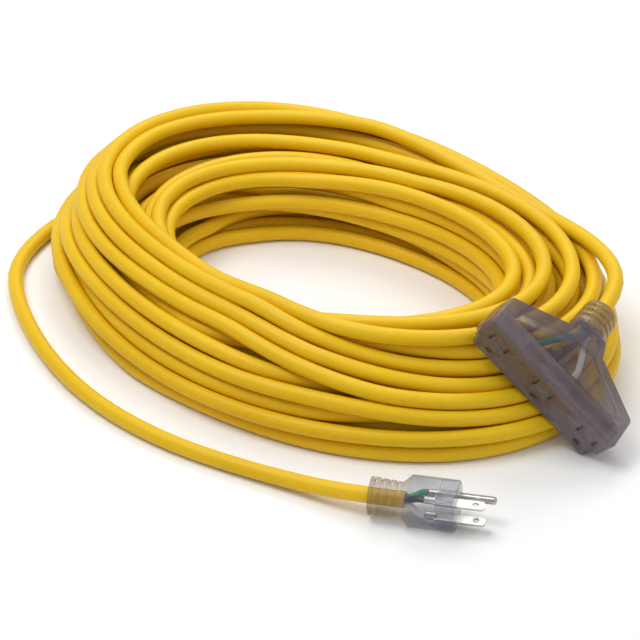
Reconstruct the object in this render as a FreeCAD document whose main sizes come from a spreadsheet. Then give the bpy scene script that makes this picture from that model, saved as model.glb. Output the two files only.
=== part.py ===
import FreeCAD, Part
import math
import os

import Sketcher
from FreeCAD import Placement, Rotation, Vector

# A coiled three-conductor extension cord with a moulded plug and a T-shaped tap.
# Millimetres, +Z up, origin on the floor under the middle of the whole assembly.

DIMENSIONS = {
    # Cord
    "cord_radius": 5.0,
    "wire_radius": 2.0,
    "copper_radius": 1.2,
    # Coil: an oval ring, wider than it is deep, with its long axis turned
    "coil_x": 13.2,
    "coil_y": 32.8,
    "coil_turned": -40.0,
    "coil_long": 209.0,
    "coil_short": 149.0,
    "coil_foot_inset": 5.0,
    "coil_waist_inset": 3.0,
    "coil_slope_inset": 12.0,
    "coil_top_inset": 28.0,
    "coil_lean_x": 6.0,
    "coil_lean_y": 10.4,
    "coil_belly_level": 10.0,
    "coil_waist_level": 25.0,
    "coil_slope_level": 43.0,
    "coil_top_level": 59.0,
    "well_x": 18.0,
    "well_y": 22.3,
    "well_turned": -30.0,
    "well_long": 111.0,
    "well_short": 73.0,
    "well_mouth_long": 124.0,
    "well_mouth_short": 86.0,
    "well_middle": 42.0,
    # Plug: placed by the middle of its blades on the face
    "plug_x": 87.4,
    "plug_y": -200.9,
    "plug_z": 13.05,
    "plug_heading": -14.0,
    "plug_rise": 2.0,
    "plug_roll": 8.0,
    "plug_length": 51.5,
    "block_low": 10.0,
    "block_high": 17.5,
    "block_half": 11.6,
    "block_corner": 6.5,
    "block_edge": 1.4,
    "sleeve_y": 4.0,
    "sleeve_z": 0.0,
    "sleeve_end_radius": 11.4,
    "sleeve_neck_radius": 10.2,
    "flare_start": 33.0,
    "flare_end": 22.0,
    "flare_radius": 21.0,
    "turned_radius": 24.0,
    "rib_near": 35.5,
    "rib_far": 37.3,
    "rib_floor": 9.7,
    "rib_outside": 13.0,
    "rib_reach": 13.5,
    "jacket_in_plug": 31.0,
    "core_back": 12.0,
    "core_front": 2.0,
    "core_low": 5.5,
    "core_high": 15.5,
    "core_half": 9.0,
    # Prongs
    "blade_spacing": 6.35,
    "blade_half_width": 3.175,
    "blade_tip_half": 1.9,
    "blade_thickness": 1.5,
    "blade_root": 13.0,
    "blade_shoulder": 14.9,
    "blade_tip": 16.2,
    "blade_hole_at": 10.9,
    "blade_hole_radius": 2.0,
    "pin_offset": 11.9,
    "pin_radius": 2.375,
    "pin_root_radius": 2.7,
    "pin_tip": 21.0,
    "pin_dome": 1.9,
    "pin_seam": 0.5,
    "crimp_radius": 2.3,
    "crimp_back": 18.5,
    "crimp_front": 12.0,
    "crimp_bore_end": 13.5,
    "wire_end_in_plug": 19.0,
    # Tap: placed by the middle of its outlet face
    "tap_x": 138.6,
    "tap_y": -123.8,
    "tap_z": 41.42,
    "slab_front_half": 53.0,
    "slab_corner_half": 52.0,
    "slab_corner_depth": 24.0,
    "slab_root_half": 15.0,
    "slab_root_depth": 41.0,
    "slab_neck_half": 10.5,
    "slab_neck_depth": 51.0,
    "slab_split": 5.0,
    "slab_half": 15.0,
    "foot_front_half": 49.0,
    "foot_corner_half": 48.0,
    "foot_corner_depth": 21.0,
    "foot_root_half": 12.5,
    "foot_root_depth": 37.0,
    "foot_neck_half": 8.0,
    "foot_neck_depth": 46.0,
    "slab_corner_round": 3.5,
    "slab_edge_round": 2.0,
    "scallop_radius": 2.2,
    "scallop_half": 50.5,
    "panel_half": 41.0,
    "panel_front": 14.0,
    "panel_corner_depth": 19.5,
    "panel_root_half": 8.5,
    "panel_root_depth": 35.0,
    "panel_rise": 0.9,
    "neck_start": 40.0,
    "neck_length": 74.0,
    "neck_shoulder": 52.0,
    "neck_collar": 55.0,
    "neck_root_radius": 10.3,
    "neck_radius": 12.0,
    "neck_end_radius": 11.2,
    "neck_rib_near": 59.0,
    "neck_rib_far": 60.9,
    "neck_rib_floor": 10.6,
    "neck_rib_outside": 14.0,
    "neck_rib_reach": 13.5,
    "jacket_in_tap": 56.0,
    # Outlets
    "outlet_pitch": 38.0,
    "outlet_slot_z": 4.4,
    "outlet_ground_z": 7.5,
    "slot_width": 2.1,
    "line_slot_height": 6.9,
    "neutral_slot_height": 8.1,
    "ground_hole_radius": 2.6,
    "face_skin": 1.5,
    "insert_half": 47.0,
    "insert_low": 12.0,
    "insert_high": 10.8,
    "insert_plate": 5.0,
    "insert_depth": 13.0,
    "tower_half": 12.0,
    "cover_depth": 16.5,
    "contact_bay": 3.8,
    "contact_bay_low": 1.6,
    "contact_bay_high": 9.4,
    "ground_bay_radius": 3.5,
    "strip_thickness": 0.8,
    "strip_half": 46.3,
    "neutral_strip_low": 5.5,
    "neutral_strip_high": 10.0,
    "line_strip_low": -2.0,
    "line_strip_high": 2.5,
    "ground_strip_low": -10.0,
    "ground_strip_high": -5.0,
    "leaf_thickness": 0.6,
    "leaf_gap": 0.85,
    "leaf_start": 5.6,
    "line_leaf_low": -1.0,
    "line_leaf_high": 4.5,
    "neutral_leaf_low": 3.5,
    "neutral_leaf_high": 9.0,
    "ground_sleeve_radius": 3.2,
    "ground_sleeve_bore": 2.45,
    "wire_end_in_tap": 19.0,
}

# Route of the tail on the floor, from inside the coil to the plug's sleeve
TAIL_FLOOR = [
    (-150.0, 145.0, 5.0),
    (-166.0, 130.0, 5.0),
    (-180.0, 109.0, 5.0),
    (-190.0, 85.0, 5.0),
    (-193.5, 62.0, 5.0),
    (-189.0, 34.0, 5.0),
    (-179.5, 4.0, 5.0),
    (-164.5, -30.0, 5.0),
    (-146.0, -61.0, 5.0),
    (-125.5, -86.5, 5.0),
    (-102.5, -108.5, 5.0),
    (-77.5, -127.0, 5.0),
    (-53.0, -141.0, 5.0),
    (-29.0, -153.2, 5.4),
    (-5.4, -164.6, 6.4),
    (15.5, -175.5, 9.2),
]
# Route of the lead over the coil, after it has left the tap's neck
LEAD_OVER_COIL = [
    (192.5, -36.0, 61.3),
    (192.0, -13.0, 59.8),
    (186.0, 9.0, 57.6),
    (175.0, 31.0, 55.4),
    (158.5, 54.0, 53.2),
    (140.0, 77.0, 51.6),
]

# Directions of the row of outlets and of the way into the tap
TAP_AXES = ((0.690, -0.307, -0.656), (0.560, 0.799, 0.217))


def make_sheet(doc):
    """Spreadsheet that holds every driving dimension under its own alias."""
    sheet = doc.addObject("Spreadsheet::Sheet", "Dimensions")
    for row, (alias, value) in enumerate(DIMENSIONS.items(), start=1):
        sheet.set("A%d" % row, alias)
        sheet.set("B%d" % row, str(value))
        sheet.setAlias("B%d" % row, alias)
    doc.recompute()
    return sheet


def size(doc, alias):
    """Value of one dimension, with a leading minus sign turned into a negative value."""
    if not isinstance(alias, str):
        return float(alias)
    if alias.startswith("-"):
        return -float(doc.Dimensions.get(alias[1:]))
    return float(doc.Dimensions.get(alias))


def cell(alias):
    """Expression that reads one dimension."""
    if alias.startswith("-"):
        return "-Dimensions." + alias[1:]
    return "Dimensions." + alias


def new_body(doc, label, place):
    """Empty PartDesign body at a given placement."""
    body = doc.addObject("PartDesign::Body", label)
    body.Label = label
    body.Placement = place
    return body


def origin_feature(body, role):
    """One of a body's own origin planes or axes."""
    for feature in body.Origin.OriginFeatures:
        if feature.Role == role:
            return feature
    raise ValueError(role)


def attached_sketch(body, name, role, level=None):
    """Sketch on one of the body's origin planes, moved along its normal if a level is given."""
    sketch = body.newObject("Sketcher::SketchObject", name)
    sketch.AttachmentSupport = (origin_feature(body, role), [""])
    sketch.MapMode = "FlatFace"
    if level is not None:
        sketch.setExpression("AttachmentOffset.Base.z", cell(level))
    return sketch


def bind_point(doc, sketch, index, corner):
    """Tie the start of one sketch line to the coordinates that two aliases give."""
    for kind, axis, alias in (("DistanceX", -2, corner[0]), ("DistanceY", -1, corner[1])):
        if alias == 0:
            sketch.addConstraint(Sketcher.Constraint("PointOnObject", index, 1, axis))
        else:
            value = size(doc, alias)
            number = sketch.addConstraint(Sketcher.Constraint(kind, -1, 1, index, 1, value))
            sketch.setExpression("Constraints[%d]" % number, cell(alias))


def outline(doc, body, name, role, corners, level=None):
    """Closed polygon sketch whose corners are bound to the sheet."""
    sketch = attached_sketch(body, name, role, level)
    points = [Vector(size(doc, x), size(doc, y), 0) for x, y in corners]
    count = len(points)
    for index in range(count):
        sketch.addGeometry(Part.LineSegment(points[index], points[(index + 1) % count]), False)
    for index in range(count):
        following = (index + 1) % count
        sketch.addConstraint(Sketcher.Constraint("Coincident", index, 2, following, 1))
    for index in range(count):
        bind_point(doc, sketch, index, corners[index])
    return sketch


def round_outline(doc, body, name, role, centre, radius):
    """Circle sketch with its centre and radius bound to the sheet."""
    sketch = attached_sketch(body, name, role)
    middle = Vector(size(doc, centre[0]), size(doc, centre[1]), 0)
    sketch.addGeometry(Part.Circle(middle, Vector(0, 0, 1), size(doc, radius)), False)
    number = sketch.addConstraint(Sketcher.Constraint("Radius", 0, size(doc, radius)))
    sketch.setExpression("Constraints[%d]" % number, cell(radius))
    for kind, axis, alias in (("DistanceX", -2, centre[0]), ("DistanceY", -1, centre[1])):
        if alias == 0:
            sketch.addConstraint(Sketcher.Constraint("PointOnObject", 0, 3, axis))
        else:
            number = sketch.addConstraint(Sketcher.Constraint(kind, -1, 1, 0, 3, size(doc, alias)))
            sketch.setExpression("Constraints[%d]" % number, cell(alias))
    return sketch


def pad(body, sketch, name, length, midplane=False, reverse=False):
    """Pad whose length is an expression on the sheet."""
    feature = body.newObject("PartDesign::Pad", name)
    feature.Profile = sketch
    feature.setExpression("Length", length)
    feature.Midplane = midplane
    feature.Reversed = reverse
    return feature


def revolution(body, sketch, name, axis):
    """Full turn of a profile about the sketch's horizontal or vertical axis."""
    feature = body.newObject("PartDesign::Revolution", name)
    feature.Profile = sketch
    feature.ReferenceAxis = (sketch, [axis])
    feature.Angle = 360.0
    return feature


def ribbed(doc, body, sketch, axis, name, role, spread, count):
    """Ring grooves cut into a turned body and repeated along its axis."""
    groove = body.newObject("PartDesign::Groove", name)
    groove.Profile = sketch
    groove.ReferenceAxis = (sketch, [axis])
    groove.Angle = 360.0
    doc.recompute()
    pattern = body.newObject("PartDesign::LinearPattern", name + "_pattern")
    pattern.Originals = [groove]
    pattern.Direction = (origin_feature(body, role), [""])
    pattern.setExpression("Length", cell(spread))
    pattern.Occurrences = count
    body.Tip = pattern
    doc.recompute()
    return pattern


def edges_where(shape, test):
    """Names of the edges whose end points all pass a test."""
    names = []
    for number, edge in enumerate(shape.Edges, start=1):
        if test(edge):
            names.append("Edge%d" % number)
    return names


def runs_along(direction):
    """Test for straight edges parallel to a direction."""
    def test(edge):
        if len(edge.Vertexes) < 2:
            return False
        step = edge.Vertexes[1].Point.sub(edge.Vertexes[0].Point)
        straight = abs(step.Length - edge.Length) < 1e-6
        return straight and abs(abs(step.dot(direction)) - step.Length) < 1e-6
    return test


def box(doc, name, place, low, high):
    """Part box between two corners given in its group's own axes."""
    part = doc.addObject("Part::Box", name)
    part.Length = high[0] - low[0]
    part.Width = high[1] - low[1]
    part.Height = high[2] - low[2]
    part.Placement = place.multiply(Placement(Vector(*low), Rotation()))
    return part


def cylinder(doc, name, place, start, direction, radius, length):
    """Part cylinder with its radius and length bound to the sheet."""
    part = doc.addObject("Part::Cylinder", name)
    part.setExpression("Radius", radius)
    part.setExpression("Height", length)
    turned = Rotation(Vector(0, 0, 1), Vector(*direction))
    part.Placement = place.multiply(Placement(Vector(*start), turned))
    return part


def fused(doc, name, parts):
    """Union of several parts."""
    union = doc.addObject("Part::MultiFuse", name)
    union.Shapes = parts
    return union


def cut(doc, name, base, tool):
    """One part with another removed from it."""
    rest = doc.addObject("Part::Cut", name)
    rest.Base = base
    rest.Tool = tool
    return rest


def rounded_route(points, label):
    """Straight runs joined by tangent arcs as large as the runs allow."""
    corners = [Vector(*point) for point in points]
    edges = []
    radii = []
    start = corners[0]
    for before, corner, after in zip(corners, corners[1:], corners[2:]):
        arriving = corner.sub(before)
        leaving = after.sub(corner)
        turn = arriving.getAngle(leaving)
        reach = 0.45 * min(arriving.Length, leaving.Length)
        radius = reach / math.tan(turn / 2.0)
        radii.append(radius)
        arriving.normalize()
        leaving.normalize()
        first = corner.sub(Vector(arriving).multiply(reach))
        last = corner.add(Vector(leaving).multiply(reach))
        inward = leaving.sub(arriving).normalize()
        centre_distance = radius / math.cos(turn / 2.0)
        middle = corner.add(Vector(inward).multiply(centre_distance - radius))
        edges.append(Part.LineSegment(start, first).toShape())
        edges.append(Part.Arc(first, middle, last).toShape())
        start = last
    edges.append(Part.LineSegment(start, corners[-1]).toShape())
    wire = Part.Wire(edges)
    print(label, "length %.1f" % wire.Length, "radii", " ".join("%.0f" % r for r in radii))
    return wire


def tube(doc, label, points, radius):
    """Round solid swept along a rounded route, its radius bound to the sheet."""
    route = doc.addObject("Part::Feature", label + "_route")
    route.Shape = rounded_route(points, label)
    section = doc.addObject("Part::Circle", label + "_section")
    section.setExpression("Radius", cell(radius))
    heading = Vector(*points[1]).sub(Vector(*points[0]))
    section.Placement = Placement(Vector(*points[0]), Rotation(Vector(0, 0, 1), heading))
    sweep = doc.addObject("Part::Sweep", label)
    sweep.Sections = [section]
    sweep.Spine = (route, ["Edge%d" % (n + 1) for n in range(len(route.Shape.Edges))])
    sweep.Solid = True
    sweep.Frenet = False
    sweep.Label = label
    doc.recompute()
    expected = math.pi * size(doc, radius) ** 2 * route.Shape.Length
    print(label, "volume against section times length: %.4f" % (sweep.Shape.Volume / expected))
    return sweep


def plug_placement(doc):
    """Where the middle of the plug's blades sits, with +X out along the prongs."""
    spot = Vector(size(doc, "plug_x"), size(doc, "plug_y"), size(doc, "plug_z"))
    heading = Rotation(Vector(0, 0, 1), size(doc, "plug_heading"))
    rise = Rotation(Vector(0, 1, 0), -size(doc, "plug_rise"))
    roll = Rotation(Vector(1, 0, 0), size(doc, "plug_roll"))
    return Placement(spot, heading.multiply(rise).multiply(roll))


def tap_placement(doc):
    """Where the middle of the outlet face sits: X along the row of outlets, Y into the tap."""
    spot = Vector(size(doc, "tap_x"), size(doc, "tap_y"), size(doc, "tap_z"))
    along = Vector(*TAP_AXES[0])
    inward = Vector(*TAP_AXES[1])
    return Placement(spot, Rotation(along, inward, Vector(0, 0, 0), "XYZ"))


def oval(doc, name, prefix, level, long_radius, short_radius, lean=0.0):
    """Horizontal ellipse at one level of the coil, shifted by a share of the coil's lean."""
    ring = doc.addObject("Part::Ellipse", name)
    ring.setExpression("MajorRadius", long_radius)
    ring.setExpression("MinorRadius", short_radius)
    spot = Vector(size(doc, prefix + "_x"), size(doc, prefix + "_y"), level)
    spot += Vector(size(doc, "coil_lean_x"), size(doc, "coil_lean_y"), 0) * lean
    ring.Placement = Placement(spot, Rotation(Vector(0, 0, 1), size(doc, prefix + "_turned")))
    return ring


def lofted(doc, name, sections):
    """Solid through a stack of closed sections."""
    solid = doc.addObject("Part::Loft", name)
    solid.Sections = sections
    solid.Solid = True
    solid.Ruled = False
    return solid


def make_coil(doc):
    """Outer shape of the whole coil: an oval ring whose sloping outer side leans back."""
    levels = [
        (0.0, "coil_foot_inset", 0.0),
        (size(doc, "coil_belly_level"), None, 0.0),
        (size(doc, "coil_waist_level"), "coil_waist_inset", 0.0),
        (size(doc, "coil_slope_level"), "coil_slope_inset", 0.5),
        (size(doc, "coil_top_level"), "coil_top_inset", 1.0),
    ]
    rings = []
    for number, (level, inset, lean) in enumerate(levels):
        less = "" if inset is None else " - Dimensions." + inset
        rings.append(oval(doc, "coil_ring_%d" % number, "coil", level,
                          "Dimensions.coil_long" + less, "Dimensions.coil_short" + less, lean))
    outside = lofted(doc, "coil_outside", rings)
    middle = size(doc, "well_middle")
    over_top = size(doc, "coil_top_level") + 1.0
    holes = [
        oval(doc, "well_ring_0", "well", -1.0, "Dimensions.well_long", "Dimensions.well_short"),
        oval(doc, "well_ring_1", "well", middle, "Dimensions.well_long", "Dimensions.well_short"),
        oval(doc, "well_ring_2", "well", over_top, "Dimensions.well_mouth_long",
             "Dimensions.well_mouth_short"),
    ]
    well = lofted(doc, "coil_well", holes)
    hollow = fused(doc, "coil_hollow", [well, make_tap_bed(doc)])
    coil = cut(doc, "cord_coil", outside, hollow)
    coil.Label = "cord_coil"
    return coil


def make_tap_bed(doc):
    """Space over the coil that the tap and its neck lie in."""
    place = tap_placement(doc)
    side = size(doc, "slab_front_half") + 2.0
    under = size(doc, "slab_half") + 0.3
    neck_under = size(doc, "neck_radius") + 0.3
    low = (-side, -20.0, -under)
    high = (side, size(doc, "slab_neck_depth"), 60.0)
    wide = box(doc, "tap_bed_wide", place, low, high)
    low = (-neck_under, size(doc, "slab_root_depth"), -neck_under)
    high = (neck_under, size(doc, "neck_length") + 6.0, 60.0)
    narrow = box(doc, "tap_bed_narrow", place, low, high)
    return fused(doc, "tap_bed", [wide, narrow])


def make_tail(doc, place):
    """Jacketed cord from under the coil, along the floor, to its cut end inside the plug."""
    axis_y = size(doc, "sleeve_y")
    axis_z = size(doc, "sleeve_z")
    end_x = -size(doc, "jacket_in_plug")
    mouth = place.multVec(Vector(-size(doc, "plug_length") - 1.0, axis_y, axis_z))
    end = place.multVec(Vector(end_x, axis_y, axis_z))
    route = TAIL_FLOOR + [tuple(mouth), tuple(end)]
    return tube(doc, "cord_tail", route, "cord_radius")


def make_lead(doc, place):
    """Jacketed cord from its cut end inside the tap, out of the neck and over onto the coil."""
    end = place.multVec(Vector(0, size(doc, "jacket_in_tap"), 0))
    mouth = place.multVec(Vector(0, size(doc, "neck_length") + 8.0, 0))
    return tube(doc, "cord_lead", [tuple(end), tuple(mouth)] + LEAD_OVER_COIL, "cord_radius")


def make_blade(doc, label, place, side):
    """Flat prong with a clipped tip, a detent hole and a crimp barrel behind it."""
    shift = Placement(Vector(0, 0, side * size(doc, "blade_spacing")), Rotation())
    body = new_body(doc, label, place.multiply(shift))
    corners = [
        ("-blade_root", "-blade_half_width"),
        ("blade_shoulder", "-blade_half_width"),
        ("blade_tip", "-blade_tip_half"),
        ("blade_tip", "blade_tip_half"),
        ("blade_shoulder", "blade_half_width"),
        ("-blade_root", "blade_half_width"),
    ]
    profile = outline(doc, body, label + "_profile", "XY_Plane", corners)
    pad(body, profile, label + "_flat", "Dimensions.blade_thickness", midplane=True)
    ring = round_outline(doc, body, label + "_ring", "XY_Plane", ("blade_hole_at", 0),
                         "blade_hole_radius")
    hole = body.newObject("PartDesign::Pocket", label + "_hole")
    hole.Profile = ring
    hole.Type = "ThroughAll"
    hole.Midplane = True
    add_crimp(doc, body, label)
    return body


def add_crimp(doc, body, label):
    """Crimp barrel behind a prong, with a bore for the copper."""
    barrel_ring = round_outline(doc, body, label + "_barrel_ring", "YZ_Plane", (0, 0),
                                "crimp_radius")
    barrel_ring.setExpression("AttachmentOffset.Base.z", "-Dimensions.crimp_back")
    pad(body, barrel_ring, label + "_barrel", "Dimensions.crimp_back - Dimensions.crimp_front")
    bore_ring = round_outline(doc, body, label + "_bore_ring", "YZ_Plane", (0, 0),
                              "copper_radius")
    bore_ring.setExpression("AttachmentOffset.Base.z", "-Dimensions.crimp_back")
    bore = body.newObject("PartDesign::Pocket", label + "_bore")
    bore.Profile = bore_ring
    bore.setExpression("Length", "Dimensions.crimp_back - Dimensions.crimp_bore_end")
    bore.Reversed = True
    body.Tip = bore


def make_ground_pin(doc, place):
    """Round ground pin with a domed tip, a rolled seam and a crimp barrel."""
    shift = Placement(Vector(0, size(doc, "pin_offset"), 0), Rotation())
    body = new_body(doc, "plug_ground_pin", place.multiply(shift))
    corners = [
        ("-blade_root", 0),
        ("-blade_root", "pin_root_radius"),
        (0, "pin_root_radius"),
        (0, "pin_radius"),
        ("pin_tip", "pin_radius"),
        ("pin_tip", 0),
    ]
    profile = outline(doc, body, "pin_profile", "XY_Plane", corners)
    turned = revolution(body, profile, "pin_turned", "H_Axis")
    doc.recompute()
    tip_x = size(doc, "pin_tip")

    def at_tip(edge):
        return all(abs(v.Point.x - tip_x) < 1e-4 for v in edge.Vertexes) and edge.Closed

    dome = body.newObject("PartDesign::Fillet", "pin_dome")
    dome.Base = (turned, edges_where(turned.Shape, at_tip))
    dome.setExpression("Radius", "Dimensions.pin_dome")
    seam_side = [
        (0, "pin_radius"),
        ("pin_tip", "pin_radius"),
        ("pin_tip", "blade_tip_half"),
        (0, "blade_tip_half"),
    ]
    seam_profile = outline(doc, body, "pin_seam_profile", "XZ_Plane", seam_side)
    seam = body.newObject("PartDesign::Pocket", "pin_seam")
    seam.Profile = seam_profile
    seam.setExpression("Length", "Dimensions.pin_seam")
    seam.Midplane = True
    add_crimp(doc, body, "pin")
    return body


def make_copper_ends(doc, label, place, starts, direction, length):
    """Bare copper ends of the three conductors, as three separate solids."""
    ends = []
    for number, start in enumerate(starts):
        name = "%s_%d" % (label, number)
        ends.append(cylinder(doc, name, place, start, direction, "Dimensions.copper_radius", length))
    group = doc.addObject("Part::Compound", label)
    group.Links = ends
    group.Label = label
    return group


def make_plug_wire(doc, label, place, start, finish):
    """Insulated conductor from the jacket's cut end to its crimp barrel."""
    back = -size(doc, "jacket_in_plug")
    front = -size(doc, "wire_end_in_plug")
    local = [
        (back, start[0], start[1]),
        (back + 3.0, start[0], start[1]),
        (front - 3.0, finish[0], finish[1]),
        (front, finish[0], finish[1]),
    ]
    route = [tuple(place.multVec(Vector(*point))) for point in local]
    return tube(doc, label, route, "wire_radius")


def make_plug_shell(doc, place):
    """Outside of the plug: a rounded block that meets a turned, ribbed sleeve."""
    block = new_body(doc, "plug_block", place)
    corners = [
        ("-block_low", "-block_half"),
        ("block_high", "-block_half"),
        ("block_high", "block_half"),
        ("-block_low", "block_half"),
    ]
    profile = outline(doc, block, "block_profile", "YZ_Plane", corners)
    bar = pad(block, profile, "block_bar", "Dimensions.plug_length", reverse=True)
    doc.recompute()
    rounded = block.newObject("PartDesign::Fillet", "block_corners")
    rounded.Base = (bar, edges_where(bar.Shape, runs_along(Vector(1, 0, 0))))
    rounded.setExpression("Radius", "Dimensions.block_corner")
    doc.recompute()

    def on_face(edge):
        return all(abs(v.Point.x) < 1e-5 for v in edge.Vertexes)

    softened = block.newObject("PartDesign::Fillet", "block_rim")
    softened.Base = (rounded, edges_where(rounded.Shape, on_face))
    softened.setExpression("Radius", "Dimensions.block_edge")
    doc.recompute()

    offset = Vector(0, size(doc, "sleeve_y"), size(doc, "sleeve_z"))
    turned = new_body(doc, "plug_turned", place.multiply(Placement(offset, Rotation())))
    side = [
        ("-plug_length", 0),
        ("-plug_length", "sleeve_end_radius"),
        ("-flare_start", "sleeve_neck_radius"),
        ("-flare_end", "flare_radius"),
        (0, "turned_radius"),
        (0, 0),
    ]
    revolution(turned, outline(doc, turned, "sleeve_side", "XY_Plane", side), "sleeve", "H_Axis")
    rib = [
        ("-rib_far", "rib_outside"),
        ("-rib_far", "rib_floor"),
        ("-rib_near", "rib_floor"),
        ("-rib_near", "rib_outside"),
    ]
    rib_sketch = outline(doc, turned, "rib_side", "XY_Plane", rib)
    pattern = ribbed(doc, turned, rib_sketch, "H_Axis", "sleeve_rib", "X_Axis", "rib_reach", 4)
    pattern.Reversed = True
    shell = doc.addObject("Part::Common", "plug_shell")
    shell.Base = block
    shell.Tool = turned
    return shell


def make_plug(doc, place, tail):
    """All the pieces of the plug, with the clear moulding cut to fit round them."""
    spacing = size(doc, "blade_spacing")
    pin_y = size(doc, "pin_offset")
    sleeve_y = size(doc, "sleeve_y")
    sleeve_z = size(doc, "sleeve_z")
    line = make_blade(doc, "plug_line_blade", place, 1.0)
    neutral = make_blade(doc, "plug_neutral_blade", place, -1.0)
    pin = make_ground_pin(doc, place)
    black = make_plug_wire(doc, "plug_black_wire", place,
                           (sleeve_y - 1.3, sleeve_z + 2.2), (0.0, spacing))
    white = make_plug_wire(doc, "plug_white_wire", place,
                           (sleeve_y - 1.3, sleeve_z - 2.2), (0.0, -spacing))
    green = make_plug_wire(doc, "plug_green_wire", place, (sleeve_y + 2.5, sleeve_z), (pin_y, 0.0))
    wire_end = -size(doc, "wire_end_in_plug")
    starts = [(wire_end, 0, spacing), (wire_end, 0, -spacing), (wire_end, pin_y, 0)]
    copper = make_copper_ends(doc, "plug_copper_ends", place, starts, (1, 0, 0),
                              "Dimensions.wire_end_in_plug - Dimensions.crimp_bore_end")
    prongs = fused(doc, "plug_prongs", [line, neutral, pin])
    low = (-size(doc, "core_back"), -size(doc, "core_low"), -size(doc, "core_half"))
    high = (-size(doc, "core_front"), size(doc, "core_high"), size(doc, "core_half"))
    core = cut(doc, "plug_core", box(doc, "plug_core_block", place, low, high), prongs)
    core.Label = "plug_core"
    inside = fused(doc, "plug_inside", [core, prongs, black, white, green, copper, tail])
    body = cut(doc, "plug_body", make_plug_shell(doc, place), inside)
    body.Label = "plug_body"
    return [body, core, line, neutral, pin, black, white, green, copper]


def slab(doc, label, place, prefix, low, thickness):
    """T-shaped plan of one layer of the tap, with its upright corners rounded."""
    body = new_body(doc, label, place)
    right = [
        (prefix + "_front_half", 0),
        (prefix + "_corner_half", prefix + "_corner_depth"),
        (prefix + "_root_half", prefix + "_root_depth"),
        (prefix + "_neck_half", prefix + "_neck_depth"),
    ]
    left = [("-" + x, y) for x, y in reversed(right)]
    profile = outline(doc, body, label + "_plan", "XY_Plane", right + left, low)
    layer = pad(body, profile, label + "_pad", thickness)
    doc.recompute()
    upright = runs_along(Vector(0, 0, 1))
    reach = size(doc, prefix + "_root_half") + 1.0

    def outer_corner(edge):
        return upright(edge) and abs(edge.Vertexes[0].Point.x) > reach

    rounded = body.newObject("PartDesign::Fillet", label + "_corners")
    rounded.Base = (layer, edges_where(layer.Shape, outer_corner))
    rounded.setExpression("Radius", "Dimensions.slab_corner_round")
    doc.recompute()
    return body, rounded


def soften(doc, body, base, name, level):
    """Round the rim of a layer on its outside face."""
    def on_level(edge):
        return all(abs(v.Point.z - level) < 1e-5 for v in edge.Vertexes)

    rim = body.newObject("PartDesign::Fillet", name)
    rim.Base = (base, edges_where(base.Shape, on_level))
    rim.setExpression("Radius", "Dimensions.slab_edge_round")
    doc.recompute()
    return rim


def make_tap_shell(doc, place):
    """Outside of the tap: a wide layer, a narrower foot, a raised panel and a ribbed neck."""
    upper, upper_base = slab(doc, "tap_upper", place, "slab", "-slab_split",
                             "Dimensions.slab_split + Dimensions.slab_half")
    soften(doc, upper, upper_base, "tap_upper_rim", size(doc, "slab_half"))
    foot, foot_base = slab(doc, "tap_foot", place, "foot", "-slab_half",
                           "Dimensions.slab_half - Dimensions.slab_split")
    soften(doc, foot, foot_base, "tap_foot_rim", -size(doc, "slab_half"))

    panel = new_body(doc, "tap_panel", place)
    right = [
        ("panel_half", "panel_front"),
        ("panel_half", "panel_corner_depth"),
        ("panel_root_half", "panel_root_depth"),
    ]
    left = [("-" + x, y) for x, y in reversed(right)]
    plan = outline(doc, panel, "panel_plan", "XY_Plane", right + left, "slab_half")
    pad(panel, plan, "panel_pad", "Dimensions.panel_rise")

    neck = new_body(doc, "tap_neck", place)
    side = [
        (0, "neck_start"),
        ("neck_root_radius", "neck_start"),
        ("neck_root_radius", "neck_shoulder"),
        ("neck_radius", "neck_collar"),
        ("neck_end_radius", "neck_length"),
        (0, "neck_length"),
    ]
    revolution(neck, outline(doc, neck, "neck_side", "XY_Plane", side), "neck_turned", "V_Axis")
    rib = [
        ("neck_rib_floor", "neck_rib_near"),
        ("neck_rib_outside", "neck_rib_near"),
        ("neck_rib_outside", "neck_rib_far"),
        ("neck_rib_floor", "neck_rib_far"),
    ]
    rib_sketch = outline(doc, neck, "neck_rib_side", "XY_Plane", rib)
    ribbed(doc, neck, rib_sketch, "V_Axis", "neck_rib", "Y_Axis", "neck_rib_reach", 4)

    solid = fused(doc, "tap_solid", [upper, foot, panel, neck])
    scallops = []
    reach = size(doc, "scallop_half")
    level = -size(doc, "slab_split")
    for number, side_x in enumerate((-reach, reach)):
        name = "tap_scallop_%d" % number
        scallops.append(cylinder(doc, name, place, (side_x, -1.0, level), (0, 1, 0),
                                 "Dimensions.scallop_radius", "Dimensions.slab_root_depth"))
    return cut(doc, "tap_shell", solid, fused(doc, "tap_scallops", scallops))


def outlet_centres(doc):
    """Positions of the three outlets along the row."""
    pitch = size(doc, "outlet_pitch")
    return [-pitch, 0.0, pitch]


def make_openings(doc, place):
    """Everything that a plug's prongs pass through in the outlet face."""
    spacing = size(doc, "blade_spacing")
    width = size(doc, "slot_width") / 2.0
    slot_z = size(doc, "outlet_slot_z")
    depth = size(doc, "insert_plate") + 0.5
    parts = []
    for number, middle in enumerate(outlet_centres(doc)):
        for side, alias in ((-1, "neutral_slot_height"), (1, "line_slot_height")):
            tall = size(doc, alias) / 2.0
            centre = middle + side * spacing
            low = (centre - width, -1.0, slot_z - tall)
            high = (centre + width, depth, slot_z + tall)
            parts.append(box(doc, "slot_%d_%d" % (number, side + 1), place, low, high))
        start = (middle, -1.0, -size(doc, "outlet_ground_z"))
        parts.append(cylinder(doc, "ground_hole_%d" % number, place, start, (0, 1, 0),
                              "Dimensions.ground_hole_radius", "Dimensions.insert_plate + 1.5"))
    return fused(doc, "outlet_openings", parts)


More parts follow.
